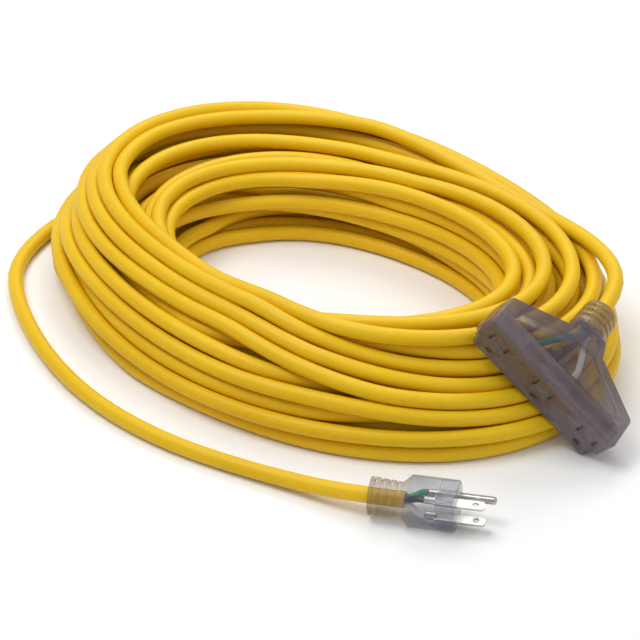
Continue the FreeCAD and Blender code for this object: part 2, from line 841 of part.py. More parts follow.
def make_insert(doc, place, openings):
    """Inner moulding with a plate and three towers, each with bays for its contacts."""
    skin = size(doc, "face_skin")
    plate = size(doc, "insert_plate")
    depth = size(doc, "insert_depth")
    low_z = -size(doc, "insert_low")
    high_z = size(doc, "insert_high")
    half = size(doc, "insert_half")
    tower = size(doc, "tower_half")
    spacing = size(doc, "blade_spacing")
    bay = size(doc, "contact_bay") / 2.0
    blocks = [box(doc, "insert_plate_block", place, (-half, skin, low_z), (half, plate, high_z))]
    bays = [openings]
    for number, middle in enumerate(outlet_centres(doc)):
        low = (middle - tower, plate - 0.5, low_z)
        high = (middle + tower, depth, high_z)
        blocks.append(box(doc, "insert_tower_%d" % number, place, low, high))
        for side in (-1, 1):
            centre = middle + side * spacing
            low = (centre - bay, plate, -size(doc, "contact_bay_low"))
            high = (centre + bay, depth + 1.0, size(doc, "contact_bay_high"))
            bays.append(box(doc, "contact_bay_%d_%d" % (number, side + 1), place, low, high))
        start = (middle, plate, -size(doc, "outlet_ground_z"))
        bays.append(cylinder(doc, "ground_bay_%d" % number, place, start, (0, 1, 0),
                             "Dimensions.ground_bay_radius",
                             "Dimensions.insert_depth - Dimensions.insert_plate + 1"))
    envelope = fused(doc, "insert_envelope", blocks)
    insert = cut(doc, "tap_insert", envelope, fused(doc, "insert_bays", bays))
    insert.Label = "tap_insert"
    return envelope, insert


def make_blade_bus(doc, label, place, side, kind):
    """Strip with a pair of contact leaves at each outlet, on the line or neutral side."""
    back = size(doc, "insert_depth")
    strip_half = size(doc, "strip_half")
    low = (-strip_half, back, size(doc, kind + "_strip_low"))
    high = (strip_half, back + size(doc, "strip_thickness"), size(doc, kind + "_strip_high"))
    parts = [box(doc, label + "_strip", place, low, high)]
    gap = size(doc, "leaf_gap")
    thick = size(doc, "leaf_thickness")
    start = size(doc, "leaf_start")
    leaf_low = size(doc, kind + "_leaf_low")
    leaf_high = size(doc, kind + "_leaf_high")
    for number, middle in enumerate(outlet_centres(doc)):
        centre = middle + side * size(doc, "blade_spacing")
        for leaf, inner in enumerate((centre - gap - thick, centre + gap)):
            name = "%s_leaf_%d_%d" % (label, number, leaf)
            parts.append(box(doc, name, place, (inner, start, leaf_low),
                             (inner + thick, back + 0.3, leaf_high)))
    bus = fused(doc, label, parts)
    bus.Label = label
    return bus


def make_ground_bus(doc, place):
    """Strip with a round contact sleeve at each outlet."""
    back = size(doc, "insert_depth")
    strip_half = size(doc, "strip_half")
    low = (-strip_half, back, size(doc, "ground_strip_low"))
    high = (strip_half, back + size(doc, "strip_thickness"), size(doc, "ground_strip_high"))
    parts = [box(doc, "ground_strip", place, low, high)]
    bores = []
    length = "Dimensions.insert_depth - Dimensions.leaf_start"
    for number, middle in enumerate(outlet_centres(doc)):
        start = (middle, size(doc, "leaf_start"), -size(doc, "outlet_ground_z"))
        parts.append(cylinder(doc, "ground_sleeve_%d" % number, place, start, (0, 1, 0),
                              "Dimensions.ground_sleeve_radius", length + " + 0.3"))
        bores.append(cylinder(doc, "ground_bore_%d" % number, place, start, (0, 1, 0),
                              "Dimensions.ground_sleeve_bore", length))
    bus = cut(doc, "tap_ground_bus", fused(doc, "ground_bus_solid", parts),
              fused(doc, "ground_bus_bores", bores))
    bus.Label = "tap_ground_bus"
    return bus


def make_tap_wire(doc, label, place, local):
    """Insulated conductor from the jacket's cut end to the back of its bus bar."""
    route = [tuple(place.multVec(Vector(*point))) for point in local]
    return tube(doc, label, route, "wire_radius")


def make_tap(doc, place, lead):
    """All the pieces of the tap, with the clear moulding cut to fit round them."""
    openings = make_openings(doc, place)
    envelope, insert = make_insert(doc, place, openings)
    line = make_blade_bus(doc, "tap_line_bus", place, 1, "line")
    neutral = make_blade_bus(doc, "tap_neutral_bus", place, -1, "neutral")
    ground = make_ground_bus(doc, place)
    buses = fused(doc, "tap_buses", [line, neutral, ground])
    jacket = size(doc, "jacket_in_tap")
    wire_end = size(doc, "wire_end_in_tap")
    line_end = (-4.0, wire_end, 0.25)
    neutral_end = (9.0, wire_end, 7.75)
    ground_end = (-19.0, wire_end, -7.5)
    black = make_tap_wire(doc, "tap_black_wire", place, [
        (0, jacket, 2.5), (0, jacket - 5.0, 2.5), (-3.0, 36.0, 1.0), (-4.0, 25.0, 0.25), line_end])
    white = make_tap_wire(doc, "tap_white_wire", place, [
        (2.25, jacket, -1.3), (2.25, jacket - 5.0, -1.3), (7.0, 36.0, 4.0), (9.0, 25.0, 7.75),
        neutral_end])
    green = make_tap_wire(doc, "tap_green_wire", place, [
        (-2.25, jacket, -1.3), (-2.25, jacket - 5.0, -1.3), (-13.5, 35.0, -4.5), (-19.0, 25.0, -7.5),
        ground_end])
    back = size(doc, "insert_depth") + size(doc, "strip_thickness")
    starts = [(x, back, z) for x, _, z in (line_end, neutral_end, ground_end)]
    copper = make_copper_ends(
        doc, "tap_copper_ends", place, starts, (0, 1, 0),
        "Dimensions.wire_end_in_tap - Dimensions.insert_depth - Dimensions.strip_thickness")
    half = size(doc, "insert_half")
    low = (-half, size(doc, "insert_depth"), -size(doc, "insert_low"))
    high = (half, size(doc, "cover_depth"), size(doc, "insert_high"))
    cover_block = box(doc, "tap_cover_block", place, low, high)
    cover = cut(doc, "tap_cover", cover_block, fused(doc, "cover_space", [buses, copper]))
    cover.Label = "tap_cover"
    inside = fused(doc, "tap_inside",
                   [envelope, cover_block, openings, black, white, green, copper, lead])
    body = cut(doc, "tap_body", make_tap_shell(doc, place), inside)
    body.Label = "tap_body"
    return [body, insert, cover, line, neutral, ground, black, white, green, copper]


def check_document(doc, parts):
    """Stop if any object failed or any sub-part has no valid solid."""
    for item in doc.Objects:
        if "Invalid" in item.State or "Error" in item.State:
            raise RuntimeError("failed: %s %s" % (item.Name, item.State))
    for part in parts:
        shape = part.Shape
        if shape.isNull() or not shape.isValid() or not shape.Solids:
            raise RuntimeError("bad shape: " + part.Label)
        low = shape.optimalBoundingBox()
        print("%-20s solids %d volume %.1f lowest %.2f" % (
            part.Label, len(shape.Solids), shape.Volume, low.ZMin))


def export_parts(parts):
    """Write each sub-part to its own file."""
    os.makedirs("parts", exist_ok=True)
    for part in parts:
        part.Shape.exportStep("parts/%s.step" % part.Label)


def main():
    doc = FreeCAD.newDocument("extension_cord")
    make_sheet(doc)
    plug_place = plug_placement(doc)
    tap_place = tap_placement(doc)
    coil = make_coil(doc)
    tail = make_tail(doc, plug_place)
    lead = make_lead(doc, tap_place)
    parts = [coil, tail, lead]
    parts += make_plug(doc, plug_place, tail)
    parts += make_tap(doc, tap_place, lead)
    doc.recompute()
    check_document(doc, parts)
    export_parts(parts)
    whole = Part.makeCompound([part.Shape for part in parts]).optimalBoundingBox()
    print("box x %.2f %.2f y %.2f %.2f z %.2f %.2f" % (
        whole.XMin, whole.XMax, whole.YMin, whole.YMax, whole.ZMin, whole.ZMax))


main()
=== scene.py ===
import math

import bmesh
import bpy
import numpy as np
from mathutils import Euler, Matrix, Vector
from mathutils.bvhtree import BVHTree


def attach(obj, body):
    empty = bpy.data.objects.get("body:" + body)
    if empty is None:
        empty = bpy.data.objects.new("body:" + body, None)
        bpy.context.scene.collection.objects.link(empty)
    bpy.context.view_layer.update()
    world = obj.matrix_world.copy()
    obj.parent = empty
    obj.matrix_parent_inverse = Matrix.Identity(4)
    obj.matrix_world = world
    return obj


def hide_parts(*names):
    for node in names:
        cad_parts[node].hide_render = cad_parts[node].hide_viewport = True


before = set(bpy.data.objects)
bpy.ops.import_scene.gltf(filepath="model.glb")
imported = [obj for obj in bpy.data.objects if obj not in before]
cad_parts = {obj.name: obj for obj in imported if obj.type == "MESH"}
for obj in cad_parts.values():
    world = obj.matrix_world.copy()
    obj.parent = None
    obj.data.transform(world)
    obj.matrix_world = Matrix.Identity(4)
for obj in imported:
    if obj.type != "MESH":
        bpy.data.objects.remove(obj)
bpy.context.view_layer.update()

MM = 0.001

# Cord: three conductors of 12 gauge in a round jacket, 100 ft long, in metres
CORD_DIAMETER = 10 * MM

# Plug and tap: their origins in millimetres and how they are turned, in degrees or as directions
PLUG_PLACE = (87.4, -200.9, 13.05)
PLUG_HEADING = -14.0
PLUG_RISE = 2.0
PLUG_ROLL = 8.0
TAP_PLACE = (138.6, -123.8, 41.42)
TAP_ALONG = (0.690, -0.307, -0.656)
TAP_INWARD = (0.560, 0.799, 0.217)

# The route where it isn't coiled, in metres: from the coil across the floor to the plug,
# and from the tap to the coil
TAIL_FLOOR = (
    (-0.1500, 0.1450, 0.0050),
    (-0.1660, 0.1300, 0.0050),
    (-0.1800, 0.1090, 0.0050),
    (-0.1900, 0.0850, 0.0050),
    (-0.1935, 0.0620, 0.0050),
    (-0.1890, 0.0340, 0.0050),
    (-0.1795, 0.0040, 0.0050),
    (-0.1645, -0.0300, 0.0050),
    (-0.1460, -0.0610, 0.0050),
    (-0.1255, -0.0865, 0.0050),
    (-0.1025, -0.1085, 0.0050),
    (-0.0775, -0.1270, 0.0050),
    (-0.0530, -0.1410, 0.0050),
    (-0.0290, -0.1532, 0.0054),
    (-0.0054, -0.1646, 0.0064),
    (0.0155, -0.1755, 0.0092),
)
TAIL_IN_PLUG = ((-0.0525, 0.004, 0.0), (-0.031, 0.004, 0.0))
LEAD_IN_TAP = ((0.0, 0.056, 0.0), (0.0, 0.082, 0.0))
LEAD_OVER_COIL = (
    (0.1925, -0.0360, 0.0613),
    (0.1920, -0.0130, 0.0598),
    (0.1860, 0.0090, 0.0576),
    (0.1750, 0.0310, 0.0554),
    (0.1585, 0.0540, 0.0532),
    (0.1400, 0.0770, 0.0516),
)

# The coil: its outer oval, the oval of its well, and how both change with height
MIDDLE = (0.0155, 0.0280)
OUTER_OVAL = {"x": 0.0132, "y": 0.0328, "long": 0.209, "short": 0.149, "turned": -40.0}
WELL_OVAL = {"x": 0.0180, "y": 0.0223, "long": 0.111, "short": 0.073, "turned": -30.0}
OUTER_INSETS = (
    (0.0, 0.005),
    (0.010, 0.0),
    (0.025, 0.003),
    (0.043, 0.012),
    (0.059, 0.028),
    (0.070, 0.040),
)
LEAN = (0.0060, 0.0104)
LEAN_BY_HEIGHT = ((0.025, 0.0), (0.043, 0.5), (0.059, 1.0))
WELL_WIDENING = ((0.0, 0.0), (0.045, 0.0), (0.060, 0.007))

# The turns: how many in each layer, how high a layer is in diameters, and how they are drawn
TURNS_IN_LAYERS = (7, 7, 7, 6, 5, 3)
LAYER_RISE = 0.90
POINTS_PER_TURN = 72
POINTS_LEFT_OUT = 2
POINTS_DRAWN_IN = 40

# How far a turn wanders in and out, for each number of waves in a turn, and where the turns fan out
WANDER = ((1, 9 * MM), (2, 5 * MM), (3, 2 * MM))
OWN_WANDER = 0.35
SLOW_WANDER_WINDOW = 9
FAN_TOWARDS = 165.0
FAN_SHARE = 0.8
LOOSENESS_ON_FLOOR = 0.5
COIL_TOP = 62.0 * MM
WINDING_SEED = 7

# Settling the coil under its own weight
ROUNDS = 1000
STIFF_UNTIL = 0.85
SINK_UNTIL = 0.75
FIRST_WIDTH = 0.7
WIDTH_GROWN = 0.3
FULL_WIDTH_AT = 0.5
PAIRS_KEPT_FOR = 10
PUSHES_PER_ROUND = 2
PUSH_STRENGTH = 1.2
LENGTH_WINDOW = 13
SINK_PER_ROUND = 0.06 * MM
STIFFNESS_STRIDES = ((9, 0.04), (4, 0.06), (2, 0.06), (1, 0.08))
FINE_STRIDES = STIFFNESS_STRIDES[2:]
NEIGHBOUR_REACH = 21 * MM
NEIGHBOUR_SKIP = 8

# The tap's outline from below, half widths at depths from the outlet face, and its foot
TAP_HALF_WIDTHS = ((-0.008, 0.053), (0.024, 0.053), (0.041, 0.015), (0.051, 0.0105), (0.0511, 0.0))
TAP_FOOT = 15.3 * MM
TAP_NECK = (0.041, 0.077, 0.0123)

# The jacket's yellow painted into the clear mouldings as painted light from the jacket inside them,
# and the lines on the tap's panel with painted shade along its outline
PAINTED_JACKET_LIGHT = (0.60, 0.38, 0.03)
PAINTED_JACKET_LIGHT_SHARE = 0.5
PANEL_FOOT = (0.01508, 0.01514)
PANEL_TOP = (0.01580, 0.01586)
LINES_SCALE = 300.0
LINES_CLEARER = 0.15
LINES_DARKER = 0.35
PAINTED_OUTLINE_DENSER = 0.45
PANEL_LINES_AND_PAINTED_SHADE = (0.035, 0.025, 0.03)

# Skins of the clear mouldings: what counts as one corner, as touching, and as a sharp edge
SAME_CORNER = 0.002 * MM
TOUCHING = 0.06 * MM
SHARP_ANGLE = 28.0

# Lights, each with its place, size and power, and the camera
LIGHTS = (
    ("key", (-0.6, 0.0, 1.6), 0.9, 14.0),
    ("fill", (0.9, -0.5, 1.3), 1.4, 4.0),
    ("back", (0.2, 1.1, 1.4), 1.0, 10.0),
)
WORLD_STRENGTH = 0.45
CAMERA_TARGET = (0.0092, 0.0138, 0.0)
CAMERA_DISTANCE = 1.555
CAMERA_ELEVATION = 34.0
CAMERA_LENS = 135.0


def make_camera():
    """The camera looks along +Y and down at the coil."""
    lift = math.radians(CAMERA_ELEVATION)
    away = Vector((0, -math.cos(lift), math.sin(lift))) * CAMERA_DISTANCE
    camera = bpy.data.objects.new("camera", bpy.data.cameras.new("camera"))
    camera.data.lens = CAMERA_LENS
    camera.location = Vector(CAMERA_TARGET) + away
    camera.rotation_euler = Euler((math.radians(90.0 - CAMERA_ELEVATION), 0, 0))
    bpy.context.collection.objects.link(camera)
    bpy.context.scene.camera = camera


def plug_placement():
    """The middle of the plug's face, with +X out along the prongs."""
    turned = (
        Matrix.Rotation(math.radians(PLUG_HEADING), 4, "Z")
        @ Matrix.Rotation(math.radians(-PLUG_RISE), 4, "Y")
        @ Matrix.Rotation(math.radians(PLUG_ROLL), 4, "X")
    )
    return Matrix.Translation(Vector(PLUG_PLACE) * MM) @ turned


def tap_placement():
    """The middle of the outlet face: X along the row of outlets, Y into the tap."""
    along = Vector(TAP_ALONG).normalized()
    up = along.cross(Vector(TAP_INWARD)).normalized()
    inward = up.cross(along)
    turned = Matrix((along, inward, up)).transposed().to_4x4()
    return Matrix.Translation(Vector(TAP_PLACE) * MM) @ turned


def placed(placement, points):
    """Points of the plug or the tap, taken to the scene's axes."""
    return [tuple(placement @ Vector(point)) for point in points]


# Coil


def oval_radius(oval, angle, lean=0.0):
    """Distance from the coil's middle to an oval, in the direction of the angle."""
    turned = math.radians(oval["turned"])
    cosine, sine = math.cos(turned), math.sin(turned)
    dx = MIDDLE[0] - oval["x"] - LEAN[0] * lean
    dy = MIDDLE[1] - oval["y"] - LEAN[1] * lean
    ux, uy = np.cos(angle), np.sin(angle)
    from_long = (dx * cosine + dy * sine) / oval["long"]
    from_short = (dy * cosine - dx * sine) / oval["short"]
    to_long = (ux * cosine + uy * sine) / oval["long"]
    to_short = (uy * cosine - ux * sine) / oval["short"]
    squares = to_long**2 + to_short**2
    cross = from_long * to_long + from_short * to_short
    root = np.sqrt(cross**2 - squares * (from_long**2 + from_short**2 - 1))
    return (root - cross) / squares


def by_height(rows, height):
    """Value at a height, or at any other place, from rows of a place and its value."""
    return np.interp(height, [row[0] for row in rows], [row[1] for row in rows])


def section_walls(angle, height):
    """Least and greatest distance from the middle that a turn's centre line may have."""
    nearest = oval_radius(WELL_OVAL, angle) + by_height(WELL_WIDENING, height) + CORD_DIAMETER / 2
    furthest = oval_radius(OUTER_OVAL, angle, by_height(LEAN_BY_HEIGHT, height))
    furthest = furthest - by_height(OUTER_INSETS, height) - CORD_DIAMETER / 2
    return nearest, furthest


def turn_places():
    """Share of the section's width and height for each turn, layer after layer, to and fro."""
    places = []
    for layer, count in enumerate(TURNS_IN_LAYERS):
        shares = np.linspace(1.0, 0.0, count)
        if layer % 2:
            shares = shares[::-1]
        height = CORD_DIAMETER * (0.5 + LAYER_RISE * layer)
        places += [(share, height) for share in shares]
    return np.array(places + places[-1:])


def angle_of(point):
    """Direction of a point from the coil's middle."""
    return math.atan2(point[1] - MIDDLE[1], point[0] - MIDDLE[0])


def wavering(random, count):
    """A value for each turn that changes slowly from turn to turn, with a little of its own."""
    window = np.hanning(SLOW_WANDER_WINDOW)[1:-1]
    slow = np.convolve(random.normal(0, 1, count + len(window) - 1), window, "valid")
    return slow / slow.std() + OWN_WANDER * random.normal(0, 1, count)


def wound_turns():
    """Turns laid by hand: each drifts to the next one's place and wanders on its way round."""
    random = np.random.default_rng(WINDING_SEED)
    places = turn_places()
    start, end = angle_of(TAIL_FLOOR[0]), angle_of(LEAD_OVER_COIL[-1])
    swept = len(places) - 2 + ((start - end) / (2 * math.pi)) % 1.0
    turn = np.arange(0, swept, 1.0 / POINTS_PER_TURN)
    angle = start - 2 * math.pi * turn
    whole = np.arange(len(places))
    share = np.interp(turn, whole, places[:, 0])
    height = np.interp(turn, whole, places[:, 1])
    nearest, furthest = section_walls(angle, height)
    fan = np.clip(np.cos(angle - math.radians(FAN_TOWARDS)), 0, 1)
    looseness = LOOSENESS_ON_FLOOR + (1 - LOOSENESS_ON_FLOOR) * height / height.max()
    looseness = looseness * (1 + FAN_SHARE * fan)
    for waves, reach in WANDER:
        swing = np.interp(turn, whole, wavering(random, len(whole))) * np.cos(waves * angle)
        swing += np.interp(turn, whole, wavering(random, len(whole))) * np.sin(waves * angle)
        share += looseness * reach * swing / (furthest - nearest)
    radius = nearest + (furthest - nearest) * np.clip(share, 0, 1)
    x = MIDDLE[0] + radius * np.cos(angle)
    y = MIDDLE[1] + radius * np.sin(angle)
    return np.stack([x, y, height], 1)


def near_pairs(points):
    """Pairs of runs of the cord that are close but not next to each other along it."""
    middles = ((points[:-1] + points[1:]) / 2).astype(np.float32)
    squares = (middles**2).sum(1)
    apart = squares[:, None] + squares[None, :] - 2 * middles @ middles.T
    first, second = np.nonzero(apart < NEIGHBOUR_REACH**2)
    kept = second > first + NEIGHBOUR_SKIP
    return first[kept], second[kept]


def closest_places(points, first, second):
    """Where along each run of a pair the two are closest, and the vector between those places."""
    way_first, way_second = points[first + 1] - points[first], points[second + 1] - points[second]
    between = points[first] - points[second]
    first_first = (way_first**2).sum(1)
    second_second = (way_second**2).sum(1)
    first_second = (way_first * way_second).sum(1)
    first_between = (way_first * between).sum(1)
    second_between = (way_second * between).sum(1)
    spread = first_first * second_second - first_second**2
    crossing = spread > 1e-3 * first_first * second_second
    share = first_second * second_between - first_between * second_second
    share = share / np.where(crossing, spread, 1.0)
    share = np.clip(np.where(crossing, share, 0.5), 0, 1)
    other = np.clip((first_second * share + second_between) / second_second, 0, 1)
    share = np.clip((first_second * other - first_between) / first_first, 0, 1)
    return share, other, between + share[:, None] * way_first - other[:, None] * way_second


def push_apart(points, pairs, width, free):
    """Moves runs that are nearer than a cord's width straight away from each other."""
    first, second = pairs
    share, other, gap = closest_places(points, first, second)
    distance = np.sqrt((gap**2).sum(1)) + 1e-9
    hit = distance < width
    first, second, share, other = first[hit], second[hit], share[hit], other[hit]
    step = gap[hit] * ((width - distance[hit]) / distance[hit] / 2)[:, None]
    where = np.concatenate([first, first + 1, second, second + 1])
    weight = np.concatenate([1 - share, share, 1 - other, other])
    moves = np.concatenate([step, step, -step, -step]) * weight[:, None]
    total = np.stack([np.bincount(where, moves[:, axis], len(points)) for axis in range(3)], 1)
    shares = np.bincount(where, weight**2, len(points))
    points += PUSH_STRENGTH * total / np.maximum(shares, 0.5)[:, None] * free[:, None]


def even_out(points, start, stride, strength, free):
    """A stiff cord gives way over a long stretch: its shift from where it was laid bends gently."""
    shift = points - start
    ends = len(points) - 4 * stride
    bend = sum(
        factor * shift[step * stride : step * stride + ends]
        for step, factor in enumerate((1, -4, 6, -4, 1))
    )
    inside = slice(2 * stride, len(points) - 2 * stride)
    points[inside] -= strength * bend * free[inside, None]


def keep_length(points, lengths, free):
    """Every run goes back to the length it was laid with, the even runs first."""
    for first in (0, 1):
        before, after = points[first:-1:2], points[first + 1 :: 2]
        way = after - before
        long = np.sqrt((way**2).sum(1))
        weights = free[first:-1:2] + free[first + 1 :: 2] + 1e-9
        change = way * ((long - lengths[first::2]) / long / weights)[:, None]
        before += change * free[first:-1:2, None]
        after -= change * free[first + 1 :: 2, None]


def keep_in_section(points, free):
    """The turns stay on the floor and between the well's and the outer oval."""
    inside = free > 0
    points[inside, 2] = np.clip(points[inside, 2], CORD_DIAMETER / 2, COIL_TOP)
    dx, dy = points[:, 0] - MIDDLE[0], points[:, 1] - MIDDLE[1]
    angle, radius = np.arctan2(dy, dx), np.hypot(dx, dy)
    allowed = np.clip(radius, *section_walls(angle, points[:, 2]))
    radius = np.where(inside, allowed, radius)
    points[:, 0] = MIDDLE[0] + radius * np.cos(angle)
    points[:, 1] = MIDDLE[1] + radius * np.sin(angle)


def keep_under_tap(points, free, placement):
    """The tap lies on the coil, so the turns stay below its foot and its neck."""
    turned = np.array(placement.to_3x3())
    origin = np.array(placement.translation)
    local = (points - origin) @ turned
    half = by_height(TAP_HALF_WIDTHS, local[:, 1]) + CORD_DIAMETER / 2
    ceiling = -(TAP_FOOT + CORD_DIAMETER / 2)
    under_slab = (local[:, 1] > TAP_HALF_WIDTHS[0][0]) & (local[:, 1] < TAP_HALF_WIDTHS[-1][0])
    under_slab &= (np.abs(local[:, 0]) < half) & (local[:, 2] > ceiling)
    start, end, radius = TAP_NECK
    radius += CORD_DIAMETER / 2
    off_axis = np.hypot(local[:, 0], local[:, 2])
    at_neck = (local[:, 1] > start) & (local[:, 1] < end) & (off_axis < radius)
    lowered = local.copy()
    lowered[under_slab, 2] = ceiling
    scale = (radius / np.maximum(off_axis, 1e-6))[:, None]
    lowered[at_neck] = np.where([True, False, True], (local * scale)[at_neck], local[at_neck])
    moved = (under_slab | at_neck) & (free > 0)
    points[moved] = lowered[moved] @ turned.T + origin


def settle(points, free, placement, rounds):
    """The turns swell to full size, sink, push each other apart and come to rest."""
    start = points.copy()
    lengths = np.sqrt((np.diff(points, axis=0) ** 2).sum(1))
    padded = np.pad(lengths, LENGTH_WINDOW // 2, mode="edge")
    lengths = np.convolve(padded, np.ones(LENGTH_WINDOW) / LENGTH_WINDOW, "valid")
    for step in range(rounds):
        if step % PAIRS_KEPT_FOR == 0:
            pairs = near_pairs(points)
        if step < SINK_UNTIL * rounds:
            points[:, 2] -= SINK_PER_ROUND * free
        strides = STIFFNESS_STRIDES if step < STIFF_UNTIL * rounds else FINE_STRIDES
        for stride, strength in strides:
            even_out(points, start, stride, strength, free)
        keep_length(points, lengths, free)
        grown = FIRST_WIDTH + WIDTH_GROWN * step / rounds / FULL_WIDTH_AT
        width = CORD_DIAMETER * min(1.0, grown)
        for _ in range(PUSHES_PER_ROUND):
            push_apart(points, pairs, width, free)
        keep_under_tap(points, free, placement)
        keep_in_section(points, free)
    return points


def draw_end_in(turns, target):
    """The last half turn runs smoothly to where the cord leaves the coil."""
    share = np.linspace(0, 1, POINTS_DRAWN_IN)
    eased = (share * share * (3 - 2 * share))[:, None]
    turns[-POINTS_DRAWN_IN:] += eased * (np.array(target) - turns[-1])


def cord_points():
    """Every control point of the cord, from inside the tap to inside the plug."""
    tap, plug = tap_placement(), plug_placement()
    lead = placed(tap, LEAD_IN_TAP) + list(LEAD_OVER_COIL)
    tail = list(TAIL_FLOOR) + placed(plug, TAIL_IN_PLUG)
    turns = wound_turns()
    draw_end_in(turns, lead[-1])
    draw_end_in(turns[::-1], tail[0])
    turns = turns[POINTS_LEFT_OUT:-POINTS_LEFT_OUT]
    points = np.vstack([lead, turns[::-1], tail])
    free = np.ones(len(points))
    free[: len(lead)] = 0
    free[-len(tail) :] = 0
    return settle(points, free, tap, ROUNDS)


def make_cord():
    """The whole cord as one NURBS spline."""
    curve = bpy.data.curves.new("cord", "CURVE")
    curve.dimensions = "3D"
    points = cord_points()
    spline = curve.splines.new("NURBS")
    spline.points.add(len(points) - 1)
    for point, place in zip(spline.points, points):
        point.co = (*place, 1.0)
    spline.order_u = 3
    spline.use_endpoint_u = True
    spline.resolution_u = 2
    curve.bevel_depth = CORD_DIAMETER / 2
    curve.bevel_resolution = 5
    curve.use_fill_caps = True
    cord = bpy.data.objects.new("cord", curve)
    bpy.context.collection.objects.link(cord)
    return cord


# Materials


def add(tree, kind, settings=None, **sockets):
    """A shader node with its settings and sockets set; a socket given as a value is linked."""
    node = tree.nodes.new("ShaderNode" + kind)
    for name, value in (settings or {}).items():
        setattr(node, name, value)
    for name, value in sockets.items():
        socket = node.inputs[name.replace("_", " ")]
        if isinstance(value, bpy.types.NodeSocket):
            tree.links.new(value, socket)
        else:
            socket.default_value = value
    return node


def new_material(name, **sockets):
    """A material, its node tree and its Principled shader with constants set on the sockets."""
    material = bpy.data.materials.new(name)
    material.use_nodes = True
    shader = material.node_tree.nodes["Principled BSDF"]
    for socket, value in sockets.items():
        shader.inputs[socket.replace("_", " ")].default_value = value
    return material, material.node_tree, shader


def position(tree, stretch=(1, 1, 1)):
    """Position on the object in metres, stretched along the axes where a pattern needs it."""
    coordinates = add(tree, "TexCoord").outputs["Object"]
    return add(tree, "Mapping", Vector=coordinates, Scale=stretch).outputs["Vector"]


def own_place(tree, placement):
    """Position in the plug's or the tap's own axes, in metres."""
    spot, turned, _ = placement.decompose()
    coordinates = add(tree, "TexCoord").outputs["Object"]
    settings = {"vector_type": "TEXTURE"}
    angles = turned.to_euler()
    made = add(tree, "Mapping", settings, Vector=coordinates, Location=spot, Rotation=angles)
    return made.outputs["Vector"]


def noise(tree, place, scale, detail=3.0, roughness=0.5):
    """Cloudy pattern between 0 and 1."""
    made = add(tree, "TexNoise", Vector=place, Scale=scale, Detail=detail, Roughness=roughness)
    return made.outputs["Fac"]


def blend_colours(tree, amount, low, high, start=0.35, end=0.65):
    """Colour that goes from low to high as the amount goes from start to end."""
    ramp = add(tree, "ValToRGB", Fac=amount)
    ramp.color_ramp.elements[0].position = start
    ramp.color_ramp.elements[1].position = end
    ramp.color_ramp.elements[0].color = (*low, 1)
    ramp.color_ramp.elements[1].color = (*high, 1)
    return ramp.outputs["Color"]


def in_range(tree, value, low, high, start=0.3, end=0.7):
    """Number that goes from low to high as the value goes from start to end."""
    made = add(tree, "MapRange", Value=value, From_Min=start, From_Max=end, To_Min=low, To_Max=high)
    return made.outputs["Result"]


def maths(tree, operation, first, second):
    """Two values, each a socket or a number, joined by one operation and kept between 0 and 1."""
    made = add(tree, "Math", {"operation": operation, "use_clamp": True})
    for socket, value in zip(made.inputs, (first, second)):
        if isinstance(value, bpy.types.NodeSocket):
            tree.links.new(value, socket)
        else:
            socket.default_value = value
    return made.outputs["Value"]


def bump(tree, shader, height, strength, distance, before=None):
    """Relief on the shader's normal, laid over an earlier one if it is given."""
    made = add(tree, "Bump", Height=height, Strength=strength, Distance=distance)
    if before is not None:
        tree.links.new(before, made.inputs["Normal"])
    tree.links.new(made.outputs["Normal"], shader.inputs["Normal"])
    return made.outputs["Normal"]


def jacket_material():
    """Yellow PVC: satin, with a fine drawn grain, faint scuffs and slow changes of colour."""
    material, tree, shader = new_material(
        "jacket_yellow_pvc", Specular_IOR_Level=0.24, Coat_Weight=0.05, Coat_Roughness=0.3
    )
    place = position(tree)
    slow = noise(tree, place, 9.0, 2.0)
    colour = blend_colours(tree, slow, (0.76, 0.465, 0.004), (0.82, 0.525, 0.007))
    scuffs = noise(tree, place, 260.0, 4.0, 0.6)
    scuffed = in_range(tree, scuffs, 0.0, 0.35, 0.52, 0.72)
    dusty = add(tree, "MixRGB", Fac=scuffed, Color1=colour, Color2=(0.84, 0.59, 0.04, 1))
    tree.links.new(dusty.outputs["Color"], shader.inputs["Base Color"])
    tree.links.new(in_range(tree, scuffs, 0.36, 0.50), shader.inputs["Roughness"])
    ripple = bump(tree, shader, noise(tree, place, 70.0, 2.0), 0.10, 1.2 * MM)
    bump(tree, shader, noise(tree, place, 1400.0, 3.0), 0.10, 0.15 * MM, ripple)
    return material


def paint_jacket_light(tree, own, axis, jacket_end, colour):
    """Painted light: the clear moulding is tinted with some of the yellow of the jacket that it
    holds, standing in for the jacket's light seen through it.
    """
    along = add(tree, "SeparateXYZ", Vector=own).outputs[axis]
    share = in_range(tree, along, 0.0, PAINTED_JACKET_LIGHT_SHARE, *jacket_end)
    # Painted light: the jacket's yellow is mixed in over the part of the moulding that holds the
    # jacket.
    mixed = add(tree, "MixRGB", Fac=share, Color1=colour, Color2=(*PAINTED_JACKET_LIGHT, 1))
    return mixed.outputs["Color"]


def panel_pattern(tree, own):
    """Strength of the fine lines of the tap's raised panel and of the painted shade that outlines
    its walls.
    """
    height = add(tree, "SeparateXYZ", Vector=own).outputs["Z"]
    on_top = in_range(tree, height, 0.0, 1.0, *PANEL_TOP)
    settings = {"bands_direction": "DIAGONAL"}
    waves = add(tree, "TexWave", settings, Vector=own, Scale=LINES_SCALE, Distortion=0.0)
    lines = maths(tree, "MULTIPLY", on_top, waves.outputs["Fac"])
    # Painted shade: a dark band on the panel's walls, between its foot and its top.
    above_foot = in_range(tree, height, 0.0, 1.0, *PANEL_FOOT)
    below_top = in_range(tree, height, 1.0, 0.0, *PANEL_TOP)
    return lines, maths(tree, "MULTIPLY", above_foot, below_top)


